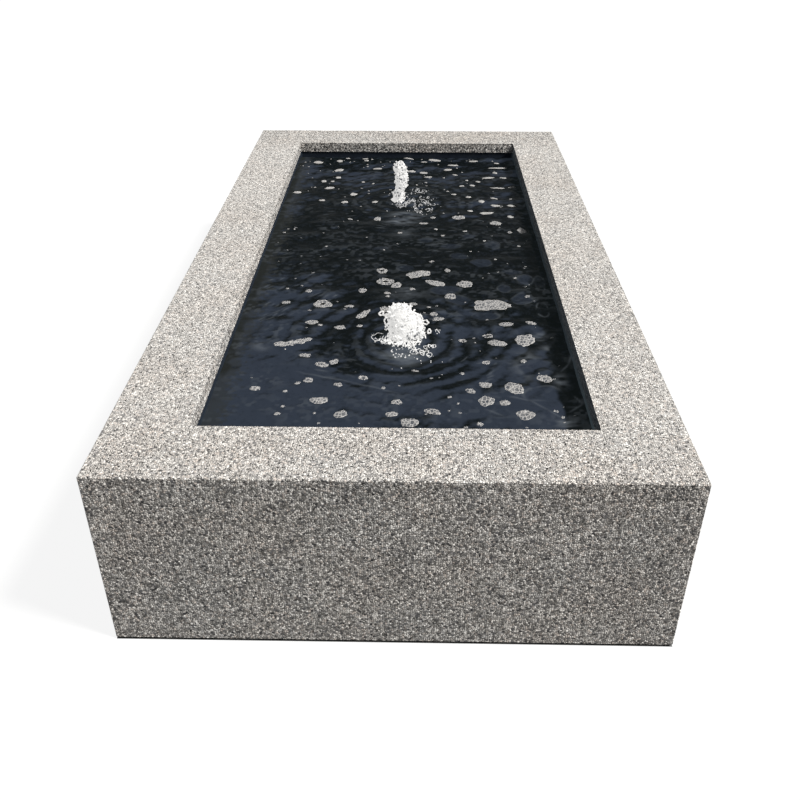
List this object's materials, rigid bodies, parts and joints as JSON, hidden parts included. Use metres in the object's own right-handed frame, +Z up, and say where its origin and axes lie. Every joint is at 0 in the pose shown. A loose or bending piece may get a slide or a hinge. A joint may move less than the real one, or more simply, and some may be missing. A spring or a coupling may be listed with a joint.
{
  "type": "water table fountain",
  "caption": "Low rectangular stone-faced water table fountain: flat-rimmed basin with a dark lined pool, a submersible pump and foaming jets.",
  "frame": {"origin": "middle of the footprint, on the ground", "axes": "+X width to the right, +Y length away from the front end, +Z up"},
  "size_m": [1.02, 2, 0.451],
  "materials": {
    "stone": "washed fine pebble aggregate, matt",
    "liner": "dark navy glass-fibre gelcoat",
    "sealant": "black silicone bead",
    "deck": "exterior plywood",
    "galvanised": "hot-dip galvanised",
    "stainless": "stainless steel",
    "rubber": "moulded black rubber",
    "black_plastic": "fine-textured black nylon",
    "pump_plastic": "fine-textured black moulding",
    "stator": "varnished laminations and winding",
    "ceramic": "ground white ceramic",
    "magnet": "dark ferrite magnet",
    "impeller": "blue moulding",
    "dial": "amber moulding",
    "pvc_grey": "grey pressure-pipe fitting",
    "pvc_pipe": "grey pressure pipe",
    "ptfe": "white seat ring",
    "chrome": "plated ball",
    "lever_red": "red moulding",
    "stand_iron": "dark epoxy-coated iron",
    "brass": "machined brass, a little dull",
    "water": "dark clear water with ripples",
    "foam": "white aerated water"
  },
  "bodies": {
    "basin": {"stone_surround": "stone", "pool_liner": "liner", "rim_sealant": "sealant", "deck_board": "deck", "frame_rails": "galvanised", "frame_bearers": "galvanised", "shell_brackets": "galvanised", "bracket_bolts": "stainless", "base_pads": "rubber", "cable_outlet_edging": "rubber", "drain_fitting": "black_plastic", "drain_gasket": "rubber", "drain_nut": "black_plastic", "cable_gland_body": "black_plastic", "cable_gland_seal": "rubber", "cable_gland_locknut": "black_plastic", "cable_gland_cap": "black_plastic", "pump_housing": "pump_plastic", "pump_back_plate": "pump_plastic", "pump_stator": "stator", "pump_shaft": "ceramic", "pump_bushes": "rubber", "pump_cover": "pump_plastic", "pump_cover_seal": "rubber", "pump_cover_screws": "stainless", "pump_feet": "rubber", "outlet_adaptor": "pvc_grey", "centre_tee": "pvc_grey", "front_pipe_inner": "pvc_pipe", "front_valve_body": "pvc_grey", "front_valve_seats": "ptfe", "front_pipe_outer": "pvc_pipe", "front_nozzle_tee": "pvc_grey", "front_nozzle_stand": "stand_iron", "front_nozzle_seat": "brass", "front_nozzle_collar": "brass", "rear_pipe_inner": "pvc_pipe", "rear_valve_body": "pvc_grey", "rear_valve_seats": "ptfe", "rear_pipe_outer": "pvc_pipe", "rear_nozzle_tee": "pvc_grey", "rear_nozzle_stand": "stand_iron", "rear_nozzle_seat": "brass", "rear_nozzle_collar": "brass", "pool_water": "water"},
    "pump_spinner": {"pump_rotor": "magnet", "pump_impeller": "impeller"},
    "strainer": {"pump_cage": "pump_plastic"},
    "dial": {"flow_dial": "dial"},
    "front_valve_turn": {"front_valve_ball": "chrome", "front_valve_lever": "lever_red"},
    "rear_valve_turn": {"rear_valve_ball": "chrome", "rear_valve_lever": "lever_red"},
    "front_nozzle_swivel": {"front_nozzle_head": "brass", "front_jet": "foam"},
    "rear_nozzle_swivel": {"rear_nozzle_head": "brass", "rear_jet": "foam"},
    "drain_stopper": {"drain_plug": "black_plastic", "drain_plug_seal": "rubber"}
  },
  "joints": [
    {"name": "rotor_spin", "type": "hinge", "parent": "basin", "child": "pump_spinner", "pos_m": [-0.04, 0, 0.14], "axis": [1, 0, 0], "continuous": true},
    {"name": "strainer_pull", "type": "slide", "parent": "basin", "child": "strainer", "axis": [1, 0, 0], "range_m": [0, 0.05]},
    {"name": "flow_dial_turn", "type": "hinge", "parent": "strainer", "child": "dial", "pos_m": [0.075, 0, 0.14], "axis": [1, 0, 0], "range_deg": [0, 90]},
    {"name": "front_valve_turn_joint", "type": "hinge", "parent": "basin", "child": "front_valve_turn", "pos_m": [0, -0.15, 0.228], "axis": [0, 0, 1], "range_deg": [0, 90]},
    {"name": "rear_valve_turn_joint", "type": "hinge", "parent": "basin", "child": "rear_valve_turn", "pos_m": [0, 0.15, 0.228], "axis": [0, 0, -1], "range_deg": [0, 90]},
    {"name": "front_nozzle_tilt", "type": "hinge", "parent": "basin", "child": "front_nozzle_swivel", "pos_m": [0, -0.425, 0.275], "axis": [1, 0, 0], "range_deg": [-10, 10]},
    {"name": "rear_nozzle_tilt", "type": "hinge", "parent": "basin", "child": "rear_nozzle_swivel", "pos_m": [0, 0.425, 0.275], "axis": [1, 0, 0], "range_deg": [-10, 10]},
    {"name": "drain_plug_lift", "type": "slide", "parent": "basin", "child": "drain_stopper", "axis": [0, 0, 1], "range_m": [0, 0.04]}
  ]
}
